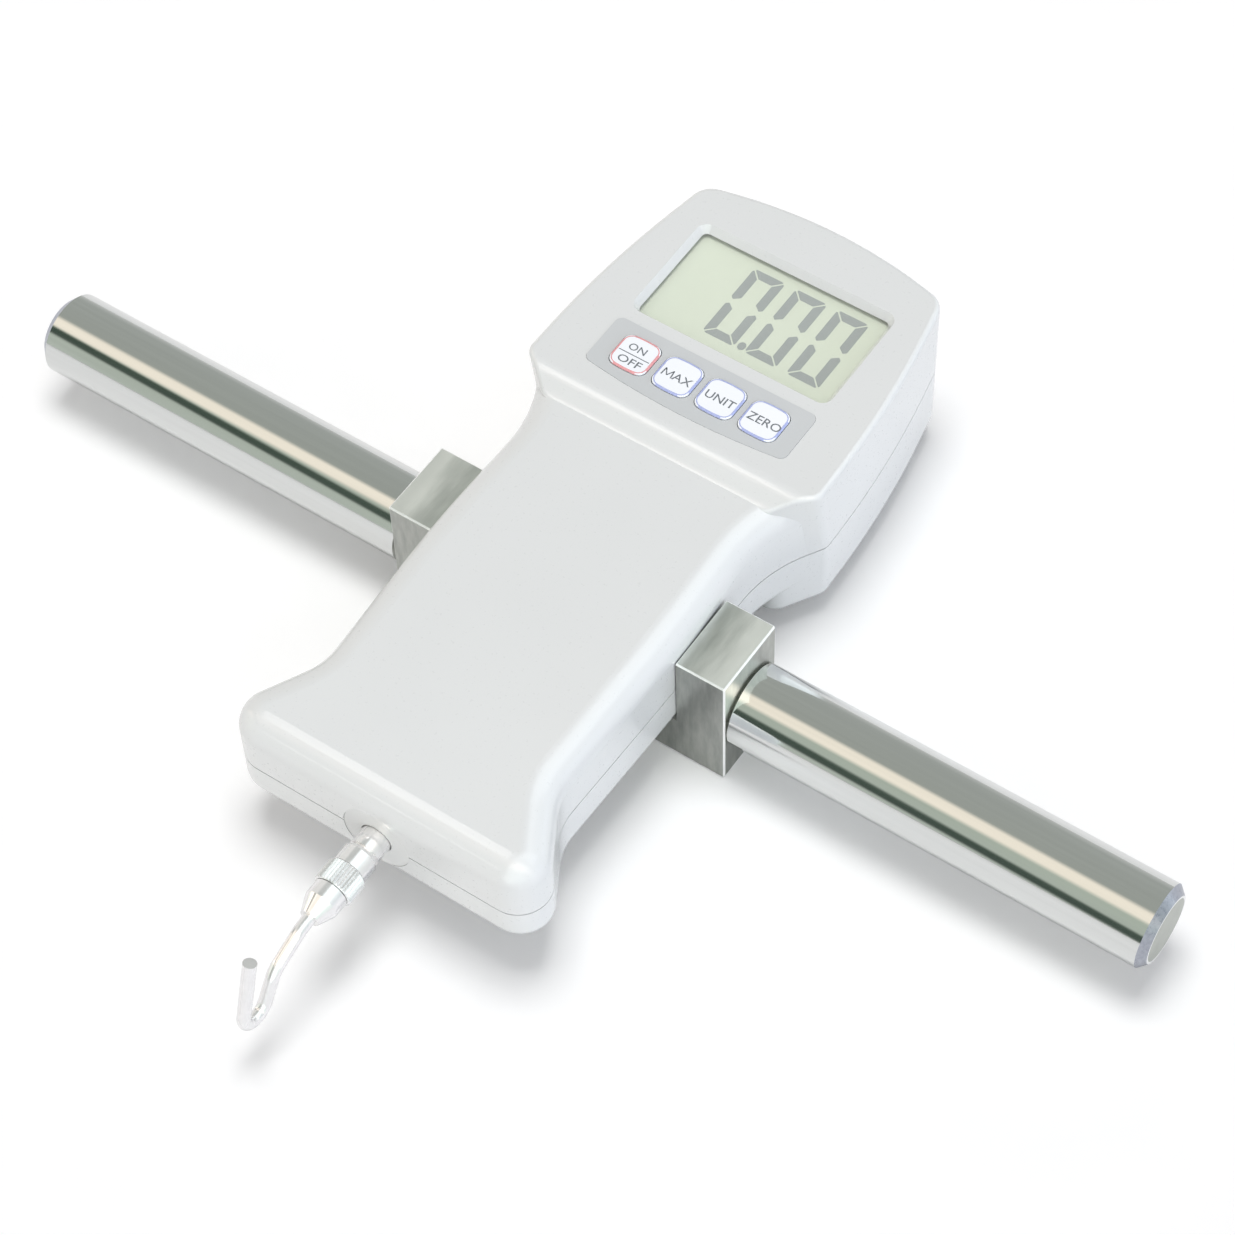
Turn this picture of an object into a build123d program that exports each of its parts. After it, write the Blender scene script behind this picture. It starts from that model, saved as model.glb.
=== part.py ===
from build123d import *
import math
import os

# Handheld digital force gauge with a two-handed handle bracket.
# Millimetres. +X runs towards the right-hand handle, +Y towards the display end,
# +Z out of the display. The origin is the centre of the bracket's underside.
# Places along the housing are "stations": distances from the housing's nose.
# Every radial or axial "gap" and "clearance" is the space left on one side.

# ---------------------------------------------------------------- bracket
bracket_station = 81.0
bracket_depth = 21.5
bracket_height = 36.5
bar_height = 13.0
upright_thickness = 13.3
bracket_housing_gap = 0.1
bracket_edge_chamfer = 0.4
bracket_screw_spacing = 22.0
bracket_screw_dia = 5.0
bracket_screw_head_dia = 9.0
bracket_screw_head_height = 4.5
bracket_screw_head_setback = 0.8
bracket_screw_grip = 7.0

# ---------------------------------------------------------------- handles
handle_dia = 21.3
handle_length = 110.0
handle_outer_chamfer = 2.0
handle_inner_chamfer = 0.6
handle_stud_dia = 8.0
handle_stud_in_handle = 16.0
handle_stud_setback = 1.5

# ---------------------------------------------------------------- housing plan
# Corners of the right-hand side: half-width, station and rounding radius.
nose_half_width = 47.5
nose_corner_radius = 8.0
flare_end_half_width = 32.7
flare_end_station = 25.6
flare_end_radius = 16.0
grip_half_width = 33.9
grip_mid_station = 72.0
grip_side_radius = 300.0
neck_half_width = 32.6
neck_station = 109.5
neck_radius = 38.0
shoulder_half_width = 41.3
shoulder_station = 123.5
shoulder_face_station = 119.2
shoulder_radius = 4.0
head_half_width = 40.8
head_side_station = 151.6
head_side_radius = 267.0
crown_corner_half_width = 34.4
crown_corner_station = 185.8
crown_corner_radius = 6.0
crown_radius = 124.0
crown_end_run = 4.4
step_station = 111.6
step_half_width = 30.5
step_corner_radius = 6.0
grip_tail_length = 30.0

# ---------------------------------------------------------------- housing section
parting_height = 25.9
nose_top_height = 41.2
grip_top_height = 45.2
grip_top_station = 66.0
grip_top_radius = 900.0
neck_top_height = 45.9
grip_top_fillet = 7.0
head_step_rise = 3.6
head_edge_fillet = 1.3
step_ramp_start = 0.6
step_ramp_length = 5.0
step_ramp_radius = 5.0
nose_underside_height = 15.6
underside_ramp_station = 24.0
underside_ramp_radius = 70.0
underside_fillet = 3.6
head_underside_height = 5.0
head_underside_fillet = 4.2
wall = 2.2
seam_gap = 0.35
seam_depth = 0.4

# ---------------------------------------------------------------- display
display_station = 159.4
view_width = 53.2
view_height = 29.6
view_corner_radius = 1.5
bezel_slope_width = 1.4
window_recess = 2.0
window_thickness = 1.2
window_margin = 2.6
window_side_gap = 0.1
window_seat_wall = 1.6
window_seat_depth = 1.5
lcd_gap = 0.15
lcd_thickness = 2.8
lcd_margin = 1.4
lcd_side_gap = 0.05
lcd_frame_wall = 1.0
lcd_frame_lip = 3.0

# ---------------------------------------------------------------- keypad
keypad_station = 131.4
keypad_half_width = 28.2
keypad_top_rise = 8.2
keypad_bottom_drop = 7.0
keypad_bottom_bulge = 2.0
keypad_corner_radius = 2.0
keypad_thickness = 0.6
keypad_proud = 0.1
keypad_side_gap = 0.05
key_names = ["key_power", "key_max", "key_unit", "key_zero"]
key_pitch = 12.12
key_width = 10.2
key_height = 9.4
key_bulge = 0.4
key_corner_radius = 2.2
key_proud = 0.5
key_travel = 0.35
key_side_gap = 0.2
key_edge_fillet = 0.3
key_flange_margin = 0.7
key_flange_thickness = 1.0
key_flange_gap = 0.08
key_stem_dia = 4.0
key_stem_length = 1.3
dome_names = ["dome_power", "dome_max", "dome_unit", "dome_zero"]
dome_height = 3.9
dome_pad_width = 10.0
dome_pad_length = 9.0
dome_pad_thickness = 0.8
dome_pad_radius = 1.5
dome_base_dia = 8.0

# ---------------------------------------------------------------- board
board_thickness = 1.6
board_half_width = 31.5
board_start_station = 121.5
board_end_station = 182.8
board_corner_radius = 4.0
board_boss_dia = 6.0
board_screw_low = (28.0, 125.5)
board_screw_high = (24.0, 180.3)
board_screw_dia = 2.2
board_screw_head_dia = 4.2
board_screw_head_height = 1.5
board_screw_depth = 4.5

# ---------------------------------------------------------------- batteries
cell_count = 2
cell_dia = 14.5
cell_length = 50.5
cell_gap = 0.2
terminal_dia = 5.5
terminal_length = 1.0
contact_thickness = 0.5
contact_spring_length = 2.0
contact_spring_dia = 5.0
contact_width = 10.0
battery_box_station = 125.8
battery_box_wall = 1.6
cover_thickness = 2.0
cover_gap = 0.2
cover_ledge = 1.4
cover_screw_zone = 6.4
cover_corner_radius = 2.0
cover_screw_half_spacing = 20.0
cover_screw_dia = 2.5
cover_screw_head_dia = 4.6
cover_screw_head_height = 1.2
cover_screw_depth = 5.0
cover_boss_dia = 6.0
cover_groove_count = 5
cover_groove_pitch = 2.4
cover_groove_width = 1.0
cover_groove_depth = 0.5
cover_groove_length = 18.0

# ---------------------------------------------------------------- housing screws
screw_dia = 3.0
screw_clearance = 0.2
screw_head_dia = 5.6
screw_head_height = 2.2
screw_head_setback = 1.2
screw_seat_depth = 3.4
screw_depth = 8.0
boss_dia = 7.0
nose_screw_place = (26.5, 14.0)
head_screw_place = (31.0, 179.6)

# ---------------------------------------------------------------- spindle and adapter
spindle_travel = 0.3
spindle_stub_dia = 7.8
spindle_stub_length = 4.5
spindle_shoulder_dia = 9.6
spindle_shoulder_length = 3.5
spindle_shaft_dia = 6.5
spindle_tail_dia = 5.0
spindle_tail_length = 4.0
running_clearance = 0.05
thread_dia = 5.0
nose_disc_dia = 18.0
nose_disc_thickness = 0.8
nose_disc_recess = 1.0
nose_disc_bore_gap = 0.25
nose_disc_hub_dia = 13.0
nose_disc_hub_length = 2.4
collar_dia = 8.9
collar_length = 5.9
collar_chamfer = 1.5
nut_dia = 9.9
nut_length = 6.1
nut_edge_chamfer = 0.4
nut_side_gap = 0.12
knurl_count = 36
knurl_depth = 0.35
socket_dia = 8.6
socket_cylinder_length = 3.8
socket_cone_length = 4.2
socket_tip_dia = 5.0
socket_thread_depth = 3.4
socket_web = 0.6

# ---------------------------------------------------------------- hook
hook_dia = 3.3
hook_root_depth = 3.6
hook_lead = 0.8
hook_first_bend_radius = 12.0
hook_first_bend = 20.0
hook_shank_length = 7.0
hook_second_bend_radius = 6.0
hook_second_bend = 37.0
hook_drop_length = 6.2
hook_turn_radius = 4.0
hook_lean_back = 17.0
hook_tip_length = 17.4

# ---------------------------------------------------------------- load cell
stop_plate_station = 21.0
stop_plate_thickness = 3.0
stop_plate_half_width = 13.0
stop_plate_half_height = 8.4
stop_plate_slot_depth = 1.5
stop_plate_slot_wall = 2.0
stop_gap = 0.42
stop_nut_flats = 10.0
stop_nut_thickness = 3.2
load_cell_station = 40.0
load_cell_length = 31.0
load_cell_width = 26.0
load_cell_height = 11.0
load_cell_arm = 6.5
load_cell_slot_width = 1.8
load_cell_slot_reach = 18.0
load_cell_hole_dia = 7.0
load_cell_hole_spacing = 8.0
load_cell_hole_bridge = 3.0
anchor_half_width = 16.0
anchor_length = 19.0
anchor_above_axis = 6.0
anchor_screw_spacing = 12.0
anchor_screw_dia = 4.0
anchor_screw_head_dia = 7.0
anchor_screw_head_height = 4.0
anchor_screw_in_cell = 5.5

# ---------------------------------------------------------------- derived places
axis_height = parting_height
handle_axis_height = bracket_height / 2
upright_inner_x = grip_half_width + bracket_housing_gap
upright_outer_x = upright_inner_x + upright_thickness
head_face_height = neck_top_height + head_step_rise
above_everything = 2 * head_face_height
crown_slope = (crown_corner_half_width - crown_end_run) / crown_radius
crown_peak_station = crown_corner_station + crown_corner_half_width * crown_slope
nose_disc_bore_dia = spindle_stub_dia + 2 * nose_disc_bore_gap
collar_start = -spindle_stub_length
collar_end = collar_start - collar_length
nut_start = collar_end - nut_side_gap
nut_end = nut_start - nut_length
socket_start = nut_end - nut_side_gap
socket_shoulder = socket_start - socket_cylinder_length
socket_end = socket_shoulder - socket_cone_length
ceiling_height = head_face_height - wall
keypad_recess = keypad_thickness - keypad_proud
window_top_height = head_face_height - window_recess
window_bottom_height = window_top_height - window_thickness
lcd_top_height = window_bottom_height - lcd_gap
key_top_height = head_face_height + key_proud
flange_top_height = ceiling_height - key_flange_gap
stem_bottom_height = flange_top_height - key_flange_thickness - key_stem_length
board_top_height = stem_bottom_height - dome_height
cover_top_height = head_underside_height + cover_thickness
cell_bottom_height = cover_top_height + cell_gap
cell_axis_height = cell_bottom_height + cell_dia / 2
cell_pitch = cell_dia + cell_gap
contact_stack = contact_thickness + contact_spring_length
battery_half_width = cell_length / 2 + contact_stack
battery_box_length = cell_count * cell_pitch + cell_gap
battery_box_top = cell_bottom_height + cell_dia + cell_gap
anchor_station = load_cell_station + load_cell_length
anchor_floor = bar_height + wall


def place(x, station, z):
    """Point given by its half-width, station and height."""
    return Vector(x, station - bracket_station, z)


def rod_y(dia, start, end, z=axis_height, x=0.0):
    """Round bar along Y between two stations."""
    low = min(start, end)
    plane = Plane(origin=place(x, low, z), x_dir=(1, 0, 0), z_dir=(0, 1, 0))
    return plane * extrude(Circle(dia / 2), abs(end - start))


def rod_z(dia, x, station, low, high):
    """Round bar along Z between two heights."""
    return Pos(place(x, station, low)) * extrude(Circle(dia / 2), high - low)


def rod_x(dia, start, end, z):
    """Round bar along X at the bracket's station."""
    low = min(start, end)
    plane = Plane(origin=(low, 0, z), x_dir=(0, 1, 0), z_dir=(1, 0, 0))
    return plane * extrude(Circle(dia / 2), abs(end - start))


def slab(face, low, high):
    """Solid over a plan face between two heights."""
    return Pos(0, 0, low) * extrude(face, high - low)


def cuboid(half_width, start, end, low, high):
    """Box centred on x = 0."""
    centre = place(0, (start + end) / 2, (low + high) / 2)
    return Pos(centre) * Box(2 * half_width, abs(end - start), high - low)


def rounded_plan(half_width, start, end, radius):
    """Rounded rectangle in plan, centred on x = 0."""
    centre = place(0, (start + end) / 2, 0)
    return Pos(centre) * RectangleRounded(2 * half_width, abs(end - start), radius)


def mirrored_places(pair):
    """The two places at plus and minus a half-width."""
    half_width, station = pair
    return [(half_width, station), (-half_width, station)]


def turned(profile):
    """Solid of revolution about the spindle axis; profile holds (radius, station) corners."""
    plane = Plane(origin=place(0, 0, axis_height), x_dir=(1, 0, 0), z_dir=(0, 0, 1))
    face = make_face(Polyline([(radius, station) for radius, station in profile], close=True))
    return revolve(plane * face, Axis(place(0, 0, axis_height), (0, 1, 0)))


# ================================================================ housing form
def closed_plan(right_side, inset):
    """Plan face from the corners of its right side and their mirror images."""
    left_side = [(-x, station, radius) for x, station, radius in reversed(right_side) if x > 0]
    corners = right_side + left_side
    points = [place(x, station, 0) for x, station, radius in corners]
    radii = [radius for x, station, radius in corners]
    face = make_face(FilletPolyline(points, radius=radii, close=True))
    if inset > 0:
        face = offset(face, amount=-inset, kind=Kind.ARC)
    return face


def neck_line(station):
    """Half-width of the straight line from the neck corner to the shoulder corner."""
    slope = (shoulder_half_width - neck_half_width) / (shoulder_station - neck_station)
    return neck_half_width + slope * (station - neck_station)


def grip_plan(inset):
    """Plan of the nose, the grip and the neck; its tail lies inside the head."""
    tail_start = shoulder_station - 1.5
    tail_end = tail_start + grip_tail_length
    tail_radius = grip_top_fillet + 1.0
    return closed_plan(
        [
            (nose_half_width, 0, nose_corner_radius),
            (flare_end_half_width, flare_end_station, flare_end_radius),
            (grip_half_width, grip_mid_station, grip_side_radius),
            (neck_half_width, neck_station, neck_radius),
            (neck_line(tail_start), tail_start, tail_radius),
            (neck_line(tail_start) - 3.0, tail_end, tail_radius),
        ],
        inset,
    )


def head_plan(inset, front_half_width, shoulder):
    """Plan of the wide display head for one width of its front and one place of its shoulders."""
    return closed_plan(
        [
            (front_half_width, step_station, step_corner_radius),
            (shoulder_half_width, shoulder, shoulder_radius),
            (head_half_width, head_side_station, head_side_radius),
            (crown_corner_half_width, crown_corner_station, crown_corner_radius),
            (0, crown_peak_station, crown_radius),
        ],
        inset,
    )


def head_walls(inset):
    """Walls of the head: upright up to the parting, then leaning forwards at the shoulders."""
    low_plan = head_plan(inset, neck_line(step_station), shoulder_station)
    high_plan = head_plan(inset, step_half_width, shoulder_face_station)
    low_section = Pos(0, 0, parting_height) * low_plan
    high_section = Pos(0, 0, head_face_height + 1.0) * high_plan
    return slab(low_plan, 0, parting_height) + loft([low_section, high_section], ruled=True)


def side_band(corners):
    """Solid whose outline, seen from the side, runs through (station, height, radius) corners."""
    reach = 4 * nose_half_width
    points = [(station - bracket_station, height) for station, height, radius in corners]
    radii = [radius for station, height, radius in corners]
    face = make_face(FilletPolyline(points, radius=radii, close=True))
    return Plane(origin=(-reach / 2, 0, 0), x_dir=(0, 1, 0), z_dir=(1, 0, 0)) * extrude(face, reach)


def grip_band(inset):
    """Side outline of the grip: rising top, ramped nose underside."""
    before = -20.0
    after = crown_peak_station
    rise = (grip_top_height - nose_top_height) / grip_top_station
    neck_rise = (neck_top_height - grip_top_height) / (step_station - grip_top_station)
    tail_height = grip_top_height + neck_rise * (after - grip_top_station)
    fall = (nose_underside_height - bar_height) / underside_ramp_station
    return side_band(
        [
            (before, nose_underside_height - fall * before + inset, 0.5),
            (underside_ramp_station, bar_height + inset, underside_ramp_radius),
            (after, bar_height + inset, 0.5),
            (after, tail_height - inset, 0.5),
            (grip_top_station, grip_top_height - inset, grip_top_radius),
            (before, nose_top_height + rise * before - inset, 0.5),
        ]
    )


def head_band(inset):
    """Side outline of the head: flat face with a rounded ramp down to the grip."""
    ramp_start = step_station + step_ramp_start + inset / 2
    ramp_end = ramp_start + step_ramp_length
    before = step_station - 20.0
    after = crown_peak_station + 20.0
    ramp_foot = neck_top_height - 0.3 - inset
    return side_band(
        [
            (before, head_underside_height + inset, 0.5),
            (after, head_underside_height + inset, 0.5),
            (after, head_face_height - inset, 0.5),
            (ramp_end, head_face_height - inset, step_ramp_radius),
            (ramp_start, ramp_foot, step_ramp_radius),
            (before, ramp_foot, 0.5),
        ]
    )


def rim_edges(form, low, high):
    """Edges around a form's rim between two heights, without the lines that cross its face."""
    box = form.bounding_box()
    rim = []
    for edge in form.edges():
        edge_box = edge.bounding_box()
        if edge_box.min.Z < low or edge_box.max.Z > high:
            continue
        crosses = abs(edge.tangent_at(0.5).X) > 0.9999
        y = edge.center().Y
        at_an_end = y < box.min.Y + 0.2 or y > box.max.Y - 0.2
        if crosses and not at_an_end:
            continue
        rim.append(edge)
    return rim


def grip_form(inset):
    """Grip with its rims rounded, reduced all round by the inset."""
    form = slab(grip_plan(inset), 0, above_everything) & grip_band(inset)
    top_rim = rim_edges(form, parting_height + 1.0, above_everything)
    form = fillet(top_rim, grip_top_fillet - inset)
    bottom_rim = rim_edges(form, 0, parting_height - 6.0)
    return fillet(bottom_rim, max(underside_fillet - inset, 0.5))


def head_form(inset):
    """Head with its rims rounded, reduced all round by the inset."""
    form = head_walls(inset) & head_band(inset)
    if head_edge_fillet > inset:
        top_rim = rim_edges(form, parting_height + 1.0, above_everything)
        form = fillet(top_rim, head_edge_fillet - inset)
    bottom_rim = rim_edges(form, 0, parting_height - 6.0)
    return fillet(bottom_rim, max(head_underside_fillet - inset, 0.5))


def housing_form(inset):
    """Whole housing, reduced all round by the inset."""
    return grip_form(inset) + head_form(inset)


# ================================================================ shared cutters
def display_opening():
    """Bevelled opening over the display, from its lip down to the window."""
    outer_width = view_width + 2 * bezel_slope_width
    outer_height = view_height + 2 * bezel_slope_width
    top = RectangleRounded(outer_width, outer_height, view_corner_radius + bezel_slope_width)
    bottom = RectangleRounded(view_width, view_height, view_corner_radius)
    centre = place(0, display_station, 0)
    low = Pos(centre.X, centre.Y, window_top_height) * bottom
    high = Pos(centre.X, centre.Y, head_face_height) * top
    slope = loft([low, high])
    return slope + Pos(centre.X, centre.Y, window_top_height - 0.1) * extrude(bottom, 0.2)


def centred_on_display(width, height, radius, low, high):
    """Rounded block centred on the display."""
    face = Pos(place(0, display_station, 0)) * RectangleRounded(width, height, radius)
    return slab(face, low, high)


def keypad_outline(margin):
    """Plan of the keypad panel, grown by the margin."""
    x = keypad_half_width + margin
    top = keypad_station + keypad_top_rise + margin
    corner = keypad_station - keypad_bottom_drop - margin
    left_top = place(-x, top, 0)
    right_top = place(x, top, 0)
    right_bottom = place(x, corner, 0)
    left_bottom = place(-x, corner, 0)
    middle = place(0, corner - keypad_bottom_bulge, 0)
    sides = [
        Line(left_top, right_top),
        Line(right_top, right_bottom),
        ThreePointArc(right_bottom, middle, left_bottom),
        Line(left_bottom, left_top),
    ]
    face = make_face(sides)
    return fillet(face.vertices(), keypad_corner_radius)


def key_x(index):
    """Half-width position of a key, counted from the left."""
    return (index - (len(key_names) - 1) / 2) * key_pitch


def key_outline(index, margin):
    """Plan of one key with its bowed top and bottom edges, grown by the margin."""
    x = key_x(index)
    half_width = key_width / 2 + margin
    half_height = key_height / 2 + margin
    low = keypad_station - half_height
    high = keypad_station + half_height
    right = x + half_width
    left = x - half_width
    sides = [
        Line(place(right, low, 0), place(right, high, 0)),
        ThreePointArc(place(right, high, 0), place(x, high + key_bulge, 0), place(left, high, 0)),
        Line(place(left, high, 0), place(left, low, 0)),
        ThreePointArc(place(left, low, 0), place(x, low - key_bulge, 0), place(right, low, 0)),
    ]
    face = make_face(sides)
    return fillet(face.vertices(), key_corner_radius + margin)


def housing_screw_places():
    """Place and seat height of each housing screw."""
    seats = []
    for x, station in mirrored_places(nose_screw_place):
        seats.append((x, station, nose_underside_height + screw_seat_depth))
    for x, station in mirrored_places(head_screw_place):
        seats.append((x, station, head_underside_height + screw_seat_depth))
    return seats


def board_screw_places():
    """Places of the screws that hold the main board."""
    return mirrored_places(board_screw_low) + mirrored_places(board_screw_high)


def bracket_screw_places():
    """Places of the screws between the bracket and the anchor."""
    return mirrored_places((bracket_screw_spacing / 2, bracket_station))


def cover_plan(margin):
    """Plan of the battery cover, grown by the margin."""
    half_width = battery_half_width + cover_ledge + margin
    start = battery_box_station - cover_ledge - margin
    end = battery_box_station + battery_box_length + cover_screw_zone + margin
    return rounded_plan(half_width, start, end, cover_corner_radius)


def cover_screw_places():
    """Places of the battery cover's screws."""
    station = battery_box_station + battery_box_length + cover_screw_zone / 2 + battery_box_wall / 2
    return mirrored_places((cover_screw_half_spacing, station))


def stop_plate_seat(low, high):
    """Rib with a slot that holds the stop plate between two heights."""
    grip = stop_plate_slot_wall
    start = stop_plate_station - grip
    end = stop_plate_station + stop_plate_thickness + grip
    return cuboid(stop_plate_half_width + grip, start, end, low, high)


def stop_plate_blank():
    """Stop plate without its bore."""
    end = stop_plate_station + stop_plate_thickness
    low = axis_height - stop_plate_half_height
    high = axis_height + stop_plate_half_height
    return cuboid(stop_plate_half_width, stop_plate_station, end, low, high)


def nose_cutter():
    """Recess and bore in the nose for the disc and its hub."""
    recess = rod_y(nose_disc_dia + 2 * running_clearance, -1.0, nose_disc_recess)
    return recess + rod_y(nose_disc_hub_dia, -1.0, 2 * wall + nose_disc_recess)


# ================================================================ housing shells
def half_housing(outer, inner, skin, low, high):
    """Half of the hollow housing between two heights, with its share of the seam groove."""
    reach = 4 * nose_half_width
    block = cuboid(reach, -reach, 2 * reach, low, high)
    seam_low = parting_height - seam_gap / 2
    seam = (outer & cuboid(reach, -reach, 2 * reach, seam_low, seam_low + seam_gap)) - skin
    return ((outer - inner) & block) - seam


def front_shell(outer, inner, skin):
    """Front half: face, display opening, keypad recess, bosses and the upper stop-plate rib."""
    shell = half_housing(outer, inner, skin, parting_height, above_everything)
    pocket_width = view_width + 2 * window_margin
    pocket_height = view_height + 2 * window_margin
    seat_width = pocket_width + 2 * window_seat_wall
    seat_height = pocket_height + 2 * window_seat_wall
    seat_low = window_bottom_height - window_seat_depth
    added = centred_on_display(seat_width, seat_height, 2.0, seat_low, head_face_height - 0.5)
    for x, station, seat in housing_screw_places():
        added += rod_z(boss_dia, x, station, parting_height, head_face_height)
    for x, station in board_screw_places():
        added += rod_z(board_boss_dia, x, station, board_top_height, head_face_height)
    rib_low = axis_height + stop_plate_half_height - stop_plate_slot_depth
    added += stop_plate_seat(rib_low, head_face_height)
    shell += added & skin
    shell -= centred_on_display(pocket_width, pocket_height, 1.0, 0, window_top_height)
    shell -= display_opening()
    shell -= slab(keypad_outline(keypad_side_gap), head_face_height - keypad_recess, above_everything)
    for index in range(len(key_names)):
        shell -= slab(key_outline(index, key_side_gap), parting_height, above_everything)
    for x, station, seat in housing_screw_places():
        shell -= rod_z(screw_dia, x, station, parting_height - 1.0, parting_height + screw_depth + 1.0)
    for x, station in board_screw_places():
        top = board_top_height + board_screw_depth
        shell -= rod_z(board_screw_dia, x, station, board_top_height - 1.0, top)
    shell -= stop_plate_blank()
    return shell - nose_cutter()


def rear_shell(outer, inner, skin):
    """Rear half: battery box, screw bosses, lower stop-plate rib and holes for the bracket screws."""
    shell = half_housing(outer, inner, skin, -1.0, parting_height)
    added = stop_plate_seat(0, axis_height - stop_plate_half_height + stop_plate_slot_depth)
    for x, station, seat in housing_screw_places():
        added += rod_z(boss_dia, x, station, 0, parting_height)
    for x, station in cover_screw_places():
        boss_top = cover_top_height + cover_screw_depth + 1.5
        added += rod_z(cover_boss_dia, x, station, cover_top_height, boss_top)
    box_half = battery_half_width + battery_box_wall
    box_end = battery_box_station + battery_box_length
    box_top = battery_box_top + battery_box_wall
    box_low = head_underside_height + 0.5
    added += cuboid(
        box_half, battery_box_station - battery_box_wall, box_end + battery_box_wall, box_low, box_top
    )
    ledge_top = cover_top_height + battery_box_wall
    added += slab(cover_plan(battery_box_wall), box_low, ledge_top)
    shell += added & skin
    shell -= slab(cover_plan(cover_gap), 0, cover_top_height)
    shell -= cuboid(battery_half_width, battery_box_station, box_end, 0, battery_box_top)
    for x, station, seat in housing_screw_places():
        shell -= rod_z(screw_head_dia + 2 * screw_clearance, x, station, -1.0, seat)
        shell -= rod_z(screw_dia + 2 * screw_clearance, x, station, -1.0, parting_height + 1.0)
    for x, station in cover_screw_places():
        shell -= rod_z(cover_screw_dia, x, station, 0, cover_top_height + cover_screw_depth + 0.5)
    for x, station in bracket_screw_places():
        shell -= rod_z(bracket_screw_dia + 2 * screw_clearance, x, station, 0, anchor_floor + 1.0)
    shell -= stop_plate_blank()
    return shell - nose_cutter()


def housing_screws():
    """Pan-head screws from the rear shell into the front shell."""
    screws = []
    for x, station, seat in housing_screw_places():
        head = rod_z(screw_head_dia, x, station, seat - screw_head_height, seat)
        slot = cross_slot(x, station, seat - screw_head_height, screw_head_dia)
        screws.append(head + rod_z(screw_dia, x, station, seat, parting_height + screw_depth) - slot)
    return Compound(children=screws)


def cross_slot(x, station, low, head_dia):
    """Cross recess opening downwards in a screw head."""
    length = 0.6 * head_dia
    width = 0.16 * head_dia
    depth = 0.15 * head_dia
    centre = place(x, station, low + depth / 2)
    blade = Pos(centre) * Box(length, width, depth)
    return blade + Pos(centre) * Box(width, length, depth)


# ================================================================ display
def display_window():
    """Clear window glued under the bevelled lip."""
    width = view_width + 2 * window_margin - 2 * window_side_gap
    height = view_height + 2 * window_margin - 2 * window_side_gap
    return centred_on_display(width, height, 0.9, window_bottom_height, window_top_height)


def lcd_panel():
    """Liquid-crystal panel behind the window."""
    width = view_width + 2 * lcd_margin
    height = view_height + 2 * lcd_margin
    return centred_on_display(width, height, 0.5, lcd_top_height - lcd_thickness, lcd_top_height)


def lcd_frame():
    """Frame that carries the panel on the main board and holds the window up."""
    inner_width = view_width + 2 * lcd_margin + 2 * lcd_side_gap
    inner_height = view_height + 2 * lcd_margin + 2 * lcd_side_gap
    width = inner_width + 2 * lcd_frame_wall
    height = inner_height + 2 * lcd_frame_wall
    frame = centred_on_display(width, height, 1.0, board_top_height, window_bottom_height)
    seat = lcd_top_height - lcd_thickness
    frame -= centred_on_display(inner_width, inner_height, 0.5, seat, head_face_height)
    hollow_width = inner_width - 2 * lcd_frame_lip
    hollow_height = inner_height - 2 * lcd_frame_lip
    return frame - centred_on_display(hollow_width, hollow_height, 0.5, 0, head_face_height)


# ================================================================ keypad
def keypad_panel():
    """Thin panel around the keys, let into the face."""
    low = head_face_height - keypad_recess
    panel = slab(keypad_outline(0), low, low + keypad_thickness)
    for index in range(len(key_names)):
        panel -= slab(key_outline(index, key_side_gap), 0, above_everything)
    return panel


def key(index):
    """One key: bowed cap, retaining flange under the face and a stem."""
    cap = slab(key_outline(index, 0), flange_top_height - key_flange_thickness, key_top_height)
    cap = fillet(cap.faces().sort_by(Axis.Z)[-1].edges(), key_edge_fillet)
    flange_low = flange_top_height - key_flange_thickness
    flange = slab(key_outline(index, key_flange_margin), flange_low, flange_top_height)
    stem = rod_z(key_stem_dia, key_x(index), keypad_station, stem_bottom_height, flange_low)
    return cap + flange + stem


def dome(index):
    """Silicone dome on the board under one key: a square foot with a cone on it."""
    x = key_x(index)
    foot_top = board_top_height + dome_pad_thickness
    foot_plan = Pos(place(x, keypad_station, 0)) * RectangleRounded(
        dome_pad_width, dome_pad_length, dome_pad_radius
    )
    foot = slab(foot_plan, board_top_height, foot_top)
    height = stem_bottom_height - foot_top
    cone = Cone(
        dome_base_dia / 2,
        key_stem_dia / 2,
        height,
        align=(Align.CENTER, Align.CENTER, Align.MIN),
    )
    return foot + Pos(place(x, keypad_station, foot_top)) * cone


# ================================================================ main board
def main_board():
    """Circuit board hung from the front shell's bosses."""
    start = board_start_station
    end = board_end_station
    plan = rounded_plan(board_half_width, start, end, board_corner_radius)
    board = slab(plan, board_top_height - board_thickness, board_top_height)
    for x, station, seat in housing_screw_places():
        board -= rod_z(boss_dia + 1.2, x, station, 0, head_face_height)
    for x, station in board_screw_places():
        board -= rod_z(board_screw_dia + 2 * screw_clearance, x, station, 0, head_face_height)
    return board


def board_screws():
    """Small screws that hold the board up against its bosses."""
    screws = []
    seat = board_top_height - board_thickness
    low = seat - board_screw_head_height
    for x, station in board_screw_places():
        head = rod_z(board_screw_head_dia, x, station, low, seat)
        shank = rod_z(board_screw_dia, x, station, seat, board_top_height + board_screw_depth - 0.5)
        screws.append(head + shank - cross_slot(x, station, low, board_screw_head_dia))
    return Compound(children=screws)


# ================================================================ batteries
def cell_station(index):
    """Station of a cell's axis."""
    return battery_box_station + cell_gap + cell_dia / 2 + index * cell_pitch


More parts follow.
